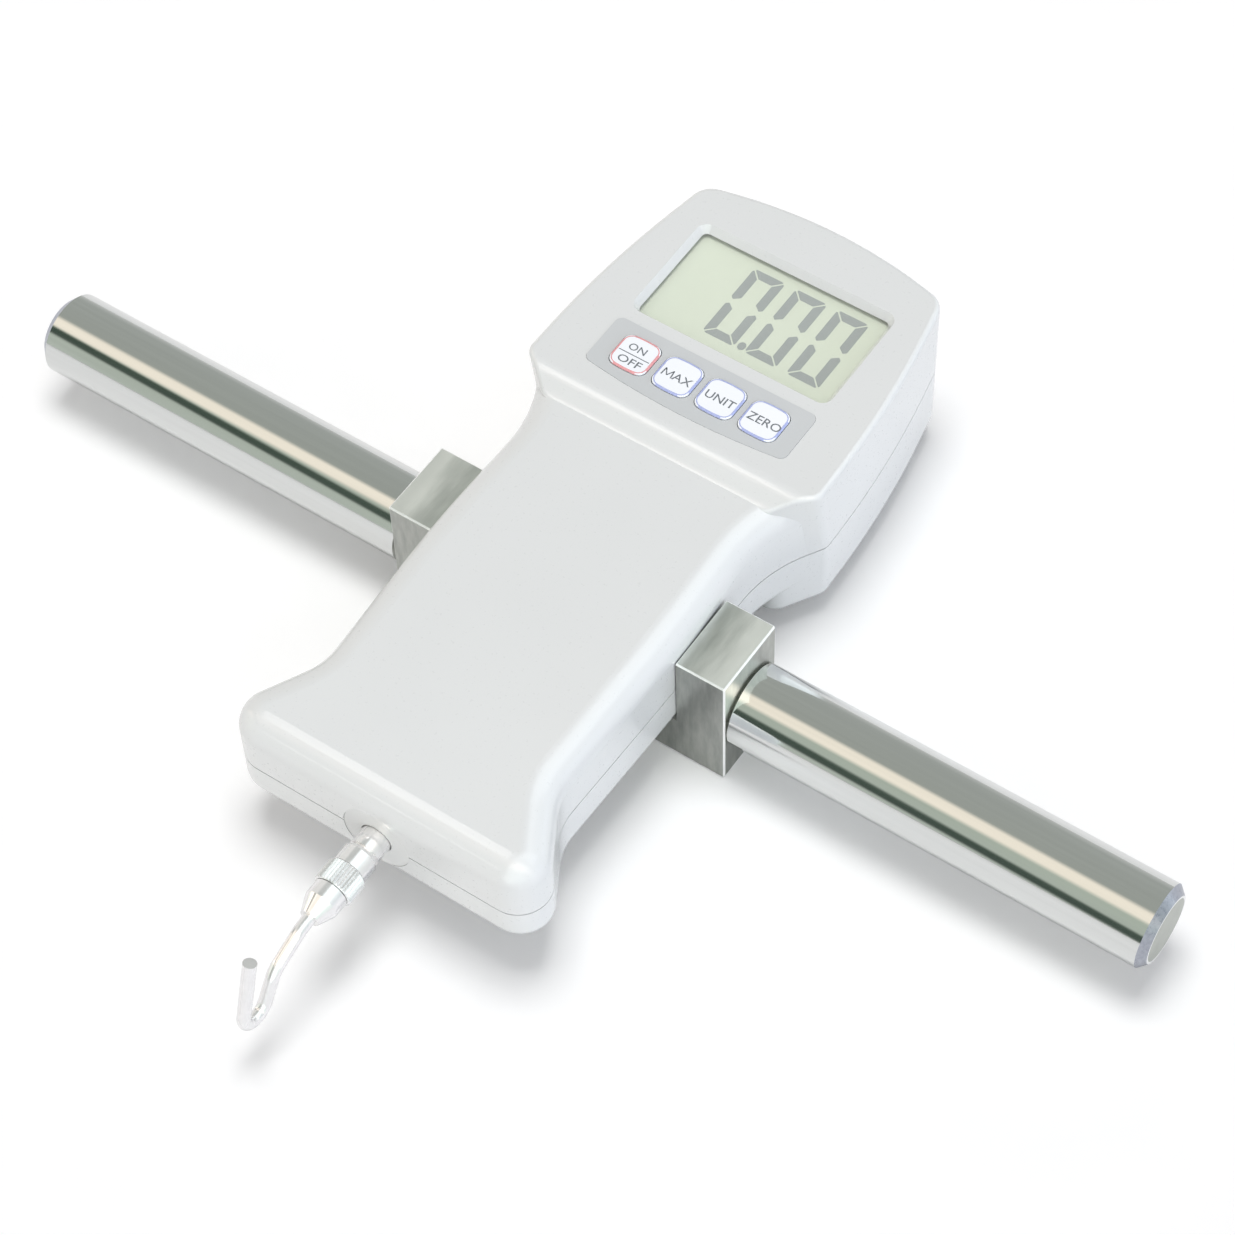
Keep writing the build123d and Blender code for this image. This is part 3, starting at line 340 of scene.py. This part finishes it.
finish_of = {
    housing_mat: ["front_shell", "rear_shell", "battery_cover"],
    disc_mat: ["nose_disc"],
    keypad_mat: ["keypad_panel"],
    key_mat: ["key_power", "key_max", "key_unit", "key_zero"],
    lcd_mat: ["lcd_panel"],
    black_mat: ["lcd_frame"],
    silicone_mat: ["dome_power", "dome_max", "dome_unit", "dome_zero"],
    cell_mat: ["battery_cells"],
    window_mat: ["display_window"],
    bright_mat: ["spindle", "coupling_collar", "hook_socket", "hook"],
    knurl_mat: ["knurled_nut"],
    handle_mat: ["handle_left", "handle_right"],
    block_mat: ["handle_bracket"],
    screw_mat: [
        "housing_screws",
        "board_screws",
        "cover_screws",
        "anchor_screws",
        "bracket_screws",
        "handle_studs",
        "stop_nut",
    ],
    spring_mat: ["battery_contacts", "stop_plate"],
    milled_mat: ["load_cell", "load_cell_anchor"],
    board_mat: ["main_board"],
}
for mat, names in finish_of.items():
    for name in names:
        dress(name, mat)


# ---------------------------------------------------------------- faces with a finish of their own
def give_faces(node, mat, test):
    """Assign a second material to the faces of a CAD node that pass a test."""
    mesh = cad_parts[node].data
    mesh.materials.append(mat)
    index = len(mesh.materials) - 1
    for face in mesh.polygons:
        if test(face):
            face.material_index = index


BAR_HEIGHT = (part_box("handle_left")[0].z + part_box("handle_left")[1].z) / 2
BAR_RADIUS = (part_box("handle_left")[1].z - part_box("handle_left")[0].z) / 2
END_RADIUS = BAR_RADIUS - END_CHAMFER
SAME_PLANE = 0.0003


def is_bar_end(face, tip):
    """The flat face at the free end of a bar."""
    return abs(face.normal.x) > 0.99 and abs(abs(face.center.x) - tip) < SAME_PLANE


def is_outer_chamfer(face):
    """The chamfer at the free end of a bar."""
    return 0.3 < abs(face.normal.x) < 0.95 and abs(face.center.x) > BAR_INNER_HALF


def is_inner_chamfer(face):
    """The chamfer where a bar meets its block."""
    return 0.3 < abs(face.normal.x) < 0.95 and abs(face.center.x) < BAR_INNER_HALF


def is_block_edge(face):
    """A small bevel on one of the bracket's blocks."""
    return max(abs(part) for part in face.normal) < 0.95 and abs(face.center.x) > BLOCK_INNER_X


end_mat = turned_end_painted_ring(BAR_HEIGHT, END_RADIUS)
for node in ("handle_left", "handle_right"):
    low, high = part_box(node)
    tip = max(abs(low.x), abs(high.x))
    give_faces(node, end_mat, lambda face, tip=tip: is_bar_end(face, tip))
    give_faces(node, chamfer_painted_reflection_mat, is_outer_chamfer)
    give_faces(node, block_mat, is_inner_chamfer)
# The block tops get a lighter copy of the steel, with painted sheen.
give_faces("handle_bracket", brushed_top_painted_sheen(), lambda face: face.normal.z > 0.99)
give_faces("handle_bracket", painted_highlight_edge_mat, is_block_edge)


# ---------------------------------------------------------------- flat printed pieces
def printed(name, outlines, z, mat, body):
    """Thin raised print: each outline is a list of (x, station) corners."""
    mesh = bpy.data.meshes.new(name)
    bm = bmesh.new()
    for outline in outlines:
        bm.faces.new([bm.verts.new(at(x, s, z)) for x, s in outline])
    bmesh.ops.recalc_face_normals(bm, faces=bm.faces)
    for face in bm.faces:
        if face.normal.z < 0:
            face.normal_flip()
    top = bmesh.ops.extrude_face_region(bm, geom=list(bm.faces))
    lifted = [g for g in top["geom"] if isinstance(g, bmesh.types.BMVert)]
    bmesh.ops.translate(bm, verts=lifted, vec=(0, 0, PRINT_LIFT * MM))
    bmesh.ops.recalc_face_normals(bm, faces=bm.faces)
    bm.to_mesh(mesh)
    bm.free()
    obj = bpy.data.objects.new(name, mesh)
    bpy.context.scene.collection.objects.link(obj)
    mesh.materials.append(mat)
    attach(obj, body)


DIGIT_WIDTH = 9.0
DIGIT_LOW = 148.75
DIGIT_HIGH = 172.0
STROKE = 2.42
MITRE_GAP = 0.26
CORNER_CUT = 0.6
MIDDLE_TIP = 0.7
MIDDLE_SHOULDER = 2.0


def zero_digit(left):
    """The six lit segments of a 0, mitred against each other, from its outer left edge."""
    centre = left + DIGIT_WIDTH / 2
    middle = (DIGIT_LOW + DIGIT_HIGH) / 2
    half = DIGIT_WIDTH / 2
    tall = (DIGIT_HIGH - DIGIT_LOW) / 2
    inner, reach = half - STROKE, tall - STROKE
    end = half - MITRE_GAP - CORNER_CUT
    cap = [
        (-end, tall),
        (end, tall),
        (end + CORNER_CUT / 2, tall - CORNER_CUT / 2),
        (inner - MITRE_GAP, reach),
        (MITRE_GAP - inner, reach),
        (-end - CORNER_CUT / 2, tall - CORNER_CUT / 2),
    ]
    side = [
        (half, tall - MITRE_GAP - CORNER_CUT),
        (half - CORNER_CUT / 2, tall - MITRE_GAP - CORNER_CUT / 2),
        (inner, reach - MITRE_GAP),
        (inner, MIDDLE_SHOULDER),
        (half - STROKE / 3, MIDDLE_TIP),
        (half, 2 * MIDDLE_TIP),
    ]
    outlines = []
    for sy in (1, -1):
        outlines.append([(centre + x, middle + sy * y) for x, y in cap])
        for sx in (1, -1):
            outlines.append([(centre + sx * x, middle + sy * y) for x, y in side])
    return outlines


def dot(x, station, radius):
    """Round decimal point, slightly taller than wide like the digits."""
    count = 20
    corners = []
    for i in range(count):
        turn = 2 * math.pi * i / count
        corners.append((x + radius * math.cos(turn) * 0.95, station + radius * 1.15 * math.sin(turn)))
    return corners


digits = zero_digit(-10.75) + zero_digit(1.2) + zero_digit(13.1) + [dot(-0.1, 149.95, 1.1)]
printed("lcd_digits", digits, LCD_TOP, segment_mat, "housing")


# ---------------------------------------------------------------- key outlines and labels
def bowed_key(x, inset):
    """Closed outline of a key with bowed top and bottom and rounded corners."""
    half_width = KEY_HALF_WIDTH - inset
    half_height = KEY_HALF_HEIGHT - inset
    bulge = KEY_BULGE
    radius = max(KEY_CORNER_RADIUS - inset, SMALLEST_CORNER)
    corners = []
    for sx, sy, start in ((1, 1, 0), (-1, 1, 90), (-1, -1, 180), (1, -1, 270)):
        for i in range(7):
            turn = math.radians(start + i * 15)
            cx = sx * (half_width - radius) + radius * math.cos(turn)
            cy = sy * (half_height - radius) + radius * math.sin(turn)
            cy += sy * bulge * (1 - (cx / half_width) ** 2)
            corners.append((x + cx, KEYPAD_STATION + cy))
        if start in (0, 180):
            for i in range(1, 8):
                cx = sx * (half_width - radius) * (1 - 2 * i / 8)
                cy = sy * (half_height + bulge * (1 - (cx / half_width) ** 2))
                corners.append((x + cx, KEYPAD_STATION + cy))
    return corners


# The rim's section: how far inside the key's edge, and how far above its top.
RIM_STEPS = ((-0.10, -0.27), (0.02, -0.14), (0.10, -0.05), (0.24, 0.015), (0.50, PRINT_LIFT))


def key_rim(name, x, ink, body):
    """Coloured rim that follows the rounded edge of a key."""
    mesh = bpy.data.meshes.new(name)
    bm = bmesh.new()
    loops = []
    for inset, rise in RIM_STEPS:
        loops.append([bm.verts.new(at(cx, cy, KEY_TOP + rise)) for cx, cy in bowed_key(x, inset)])
    for outer, inner in zip(loops, loops[1:]):
        for i in range(len(outer)):
            j = (i + 1) % len(outer)
            bm.faces.new((outer[i], outer[j], inner[j], inner[i]))
    for face in bm.faces:
        face.smooth = True
    bm.to_mesh(mesh)
    bm.free()
    obj = bpy.data.objects.new(name, mesh)
    bpy.context.scene.collection.objects.link(obj)
    mesh.materials.append(ink)
    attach(obj, body)


KEYS = [
    ("key_power", red_mat, "key_red"),
    ("key_max", violet_mat, "key_plain"),
    ("key_unit", violet_mat, "key_plain"),
    ("key_zero", violet_mat, "key_plain"),
]
for index, (key, ink, slot_name) in enumerate(KEYS):
    key_rim(key + "_outline", (index - 1.5) * KEY_PITCH, ink, key)


def label(name, text, x_low, x_high, base, cap, body):
    """Raised lettering between two half-widths, with its capitals' height."""
    curve = bpy.data.curves.new(name, "FONT")
    curve.body = text
    curve.size = 1.0
    curve.resolution_u = 3
    curve.offset = 0.004
    obj = bpy.data.objects.new(name + "_curve", curve)
    bpy.context.scene.collection.objects.link(obj)
    bpy.context.view_layer.update()
    deps = bpy.context.evaluated_depsgraph_get()
    mesh = bpy.data.meshes.new_from_object(obj.evaluated_get(deps))
    bpy.data.objects.remove(obj)
    xs = [v.co.x for v in mesh.vertices]
    ys = [v.co.y for v in mesh.vertices]
    for v in mesh.vertices:
        u = (v.co.x - min(xs)) / (max(xs) - min(xs))
        w = (v.co.y - min(ys)) / (max(ys) - min(ys))
        v.co = at(x_low + u * (x_high - x_low), base + w * cap, KEY_TOP + PRINT_LIFT)
    mesh.materials.clear()
    mesh.materials.append(label_mat)
    piece = bpy.data.objects.new(name, mesh)
    bpy.context.scene.collection.objects.link(piece)
    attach(piece, body)


label("label_on", "ON", -20.9, -16.2, 132.0, 2.1, "key_power")
label("label_off", "OFF", -21.3, -14.9, 127.8, 2.15, "key_power")
label("label_max", "AX", -7.0, -2.0, 129.9, 2.3, "key_max")
# The M is drawn in strokes, because the built-in letter comes out broken.
M_PATH = [(-9.9, 129.9), (-9.65, 132.2), (-8.55, 130.3), (-7.45, 132.2), (-7.2, 129.9)]
M_HALF = 0.17
strokes = []
for (x0, s0), (x1, s1) in zip(M_PATH, M_PATH[1:]):
    strokes.append([(x0 - M_HALF, s0), (x0 + M_HALF, s0), (x1 + M_HALF, s1), (x1 - M_HALF, s1)])
printed("label_max_first", strokes, KEY_TOP, label_mat, "key_max")
label("label_unit", "UNIT", 2.2, 10.2, 129.9, 2.3, "key_unit")
label("label_zero", "ZERO", 14.0, 23.0, 129.9, 2.4, "key_zero")
RULE = [(-22.5, 130.78), (-13.9, 130.78), (-13.9, 131.02), (-22.5, 131.02)]
printed("label_rule", [RULE], KEY_TOP, label_mat, "key_power")


# ---------------------------------------------------------------- floor, light and camera
def plane(name, centre, size, mat):
    """Flat stage piece."""
    mesh = bpy.data.meshes.new(name)
    half_x, half_y = size[0] / 2, size[1] / 2
    corners = [(-half_x, -half_y, 0), (half_x, -half_y, 0), (half_x, half_y, 0), (-half_x, half_y, 0)]
    mesh.from_pydata(corners, [], [(0, 1, 2, 3)])
    obj = bpy.data.objects.new(name, mesh)
    obj.location = centre
    bpy.context.scene.collection.objects.link(obj)
    mesh.materials.append(mat)
    obj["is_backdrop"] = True
    return obj


def glowing(mat, strength):
    """Let the camera see a surface slightly brighter than it is lit."""
    nodes = mat.node_tree.nodes
    links = mat.node_tree.links
    shader = next(node for node in nodes if node.type == "BSDF_PRINCIPLED")
    out = next(node for node in nodes if node.type == "OUTPUT_MATERIAL")
    glow = nodes.new("ShaderNodeEmission")
    path = nodes.new("ShaderNodeLightPath")
    level = nodes.new("ShaderNodeMath")
    level.operation = "MULTIPLY"
    level.inputs[1].default_value = strength
    links.new(path.outputs["Is Camera Ray"], level.inputs[0])
    links.new(level.outputs[0], glow.inputs["Strength"])
    total = nodes.new("ShaderNodeAddShader")
    links.new(shader.outputs["BSDF"], total.inputs[0])
    links.new(glow.outputs["Emission"], total.inputs[1])
    links.new(total.outputs["Shader"], out.inputs["Surface"])


floor_mat = moulded("floor_paint", (0.93, 0.93, 0.93), (0.95, 0.95, 0.95), 0.85, 0.0)
glowing(floor_mat, 0.10)
FLOOR_DROP = 0.0003
floor = plane("floor", (0, 0, -FLOOR_DROP), (8, 8), floor_mat)


def aim(obj, target):
    """Turn a lamp towards a point."""
    obj.rotation_euler = (Vector(target) - obj.location).to_track_quat("-Z", "Y").to_euler()


def softbox(name, place, target, size, power, colour=(1, 1, 1)):
    """Rectangular area lamp that looks at a point."""
    light = bpy.data.lights.new(name, "AREA")
    light.shape = "RECTANGLE"
    light.size = size[0]
    light.size_y = size[1]
    light.energy = power
    light.color = colour
    obj = bpy.data.objects.new(name, light)
    obj.location = place
    bpy.context.scene.collection.objects.link(obj)
    aim(obj, target)
    return obj


softbox_top = softbox("softbox_top", (-0.06, 0.09, 1.50), (0, 0, 0), (0.65, 0.65), 12.5)
softbox_top.visible_glossy = False

off_the_floor = bpy.data.collections.new("off_the_floor")
off_the_floor.objects.link(floor)
off_the_floor.collection_objects[0].light_linking.link_state = "EXCLUDE"


def side_fill(name, place, power, colour):
    """Large low light that brightens the upright faces and leaves the floor to its shadow."""
    light = softbox(name, place, (0, 0, 0.03), (0.9, 0.4), power, colour)
    light.visible_glossy = False
    light.light_linking.receiver_collection = off_the_floor


side_fill("fill_front", (0.15, -1.15, 0.20), 3.5, (1.0, 0.99, 0.96))
side_fill("fill_right", (1.15, 0.05, 0.22), 4.6, (0.90, 0.96, 1.10))

housing_group = bpy.data.collections.new("lit_housing")
for node in ("front_shell", "rear_shell", "nose_disc"):
    housing_group.objects.link(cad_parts[node])


STRIP_DISTANCE = 0.7
WARM_WHITE = (1.0, 0.98, 0.96)
COOL_WHITE = (0.90, 0.95, 1.0)


def strip(name, middle, direction, along, size, power, colour):
    """Light that only shines back from the gloss of the housing, its length set along an axis."""
    light = softbox(name, Vector(middle) + STRIP_DISTANCE * Vector(direction), middle, size, power, colour)
    backwards = Vector(direction).normalized()
    lengthwise = (Vector(along) - backwards * backwards.dot(Vector(along))).normalized()
    axes = Matrix((lengthwise, backwards.cross(lengthwise), backwards)).transposed()
    light.rotation_euler = axes.to_euler()
    light.visible_diffuse = False
    light.light_linking.receiver_collection = housing_group


strip("strip_high", (0, -0.076, 0.041), (-0.365, -0.02, 0.93), (1, 0, 0), (0.13, 0.30), 0.32, WARM_WHITE)
strip("strip_low", (0, -0.079, 0.039), (-0.36, -0.81, 0.47), (1, 0, 0), (0.14, 0.05), 0.06, WARM_WHITE)
strip("strip_right", (0.030, -0.012, 0.044), (0.44, 0.37, 0.81), (0, 1, 0), (0.40, 0.56), 0.60, COOL_WHITE)


def build_world(nodes, links):
    """White to the camera, a pale tent for soft light, and a striped studio in reflections."""
    nodes.clear()
    out = nodes.new("ShaderNodeOutputWorld")
    shade = nodes.new("ShaderNodeBackground")
    links.new(shade.outputs["Background"], out.inputs["Surface"])
    coord = nodes.new("ShaderNodeTexCoord")
    split = nodes.new("ShaderNodeSeparateXYZ")
    links.new(coord.outputs["Generated"], split.inputs["Vector"])

    # 0 at the horizon behind the display, 0.5 in the plane overhead, 1 at the horizon in front.
    angle = math_node(nodes, links, "ARCTAN2", split.outputs["Z"], split.outputs["Y"])
    turn = math_node(nodes, links, "MULTIPLY", angle, 1.0 / math.pi)
    room = stripes(nodes, links, turn, ROOM_STRIPES)
    leaning = math_node(nodes, links, "MULTIPLY_ADD", split.outputs["X"], -CARD_LEAN, turn)
    placed = math_node(nodes, links, "ADD", leaning, -CARD_SHIFT)
    card = stripes(nodes, links, placed, CARD_STRIPES)
    side = math_node(nodes, links, "MULTIPLY_ADD", split.outputs["X"], 0.5, 0.5)
    beside = stripes(nodes, links, side, SIDE_STRIPES)
    carded = mixed(nodes, links, 1.0, room, card, "MULTIPLY")
    studio = mixed(nodes, links, 1.0, carded, beside, "MULTIPLY")

    tent = stripes(nodes, links, side, [(0.0, WARM_SIDE), (0.5, EVEN_LIGHT), (1.0, COOL_SIDE)])
    frontal = math_node(nodes, links, "MULTIPLY_ADD", split.outputs["Y"], -FRONT_SHARE, 1.0)
    high = math_node(nodes, links, "MAXIMUM", split.outputs["Z"], 0.0)
    level = math_node(nodes, links, "MULTIPLY_ADD", high, -OVERHEAD_LOSS, frontal)
    even = mixed(nodes, links, 1.0, tent, grey(nodes, links, level), "MULTIPLY")
    path = nodes.new("ShaderNodeLightPath")
    lit = mixed(nodes, links, path.outputs["Is Glossy Ray"], even, studio)
    white = nodes.new("ShaderNodeRGB")
    white.outputs[0].default_value = (1, 1, 1, 1)
    camera_ray = path.outputs["Is Camera Ray"]
    seen = math_node(nodes, links, "MAXIMUM", camera_ray, path.outputs["Is Transmission Ray"])
    links.new(mixed(nodes, links, seen, lit, white.outputs[0]), shade.inputs["Color"])


ROOM_STRIPES = [
    (0.00, (0.62, 0.64, 0.62)),
    (0.04, (0.50, 0.52, 0.50)),
    (0.10, (0.42, 0.445, 0.42)),
    (0.53, (0.40, 0.425, 0.390)),
    (0.58, (1.12, 1.03, 0.88)),
    (0.68, (1.12, 1.03, 0.88)),
    (0.73, (0.50, 0.56, 0.48)),
    (1.00, (0.54, 0.59, 0.53)),
]
CARD_STRIPES = [
    (0.00, (1, 1, 1)),
    (0.775, (1, 1, 1)),
    (0.800, (0.14, 0.18, 0.16)),
    (0.880, (0.12, 0.15, 0.14)),
    (0.910, (1, 1, 1)),
]
SIDE_STRIPES = [
    (0.00, (1.80, 1.70, 1.74)),
    (0.18, (1.80, 1.70, 1.74)),
    (0.25, (1.00, 1.00, 1.00)),
    (0.44, (1.00, 1.00, 1.00)),
    (0.54, (3.10, 3.20, 3.40)),
    (0.82, (3.10, 3.20, 3.40)),
    (0.95, (1.60, 1.66, 1.76)),
]
CARD_LEAN = 0.56
CARD_SHIFT = 0.20
WARM_SIDE = (0.54, 0.50, 0.46)
EVEN_LIGHT = (0.52, 0.52, 0.52)
COOL_SIDE = (0.54, 0.58, 0.66)
FRONT_SHARE = 0.15
OVERHEAD_LOSS = 0.20

world = bpy.data.worlds.new("studio")
bpy.context.scene.world = world
world.use_nodes = True
build_world(world.node_tree.nodes, world.node_tree.links)

# The camera fitted to the photograph.
SENSOR_WIDTH = 36.0
FOCAL_PIXELS = 3600.0
PHOTO_PIXELS = 1235.0
CAMERA_PLACE = (0.296392, -0.389727, 0.714248)
camera_data = bpy.data.cameras.new("camera")
camera_data.sensor_width = SENSOR_WIDTH
camera_data.sensor_fit = "HORIZONTAL"
camera_data.lens = SENSOR_WIDTH * FOCAL_PIXELS / PHOTO_PIXELS
camera_data.clip_start = 0.01
camera = bpy.data.objects.new("camera", camera_data)
bpy.context.scene.collection.objects.link(camera)
right = Vector((0.82602383, 0.56310647, -0.02440753))
down = Vector((0.45001893, -0.68497033, -0.57297349))
forward = Vector((-0.33936352, 0.46230591, -0.81921038))
turn = Matrix((right, -down, -forward)).transposed().to_4x4()
camera.matrix_world = Matrix.Translation(CAMERA_PLACE) @ turn
bpy.context.scene.camera = camera

bpy.context.scene.view_settings.view_transform = "Standard"
bpy.context.scene.view_settings.look = "None"

low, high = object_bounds()
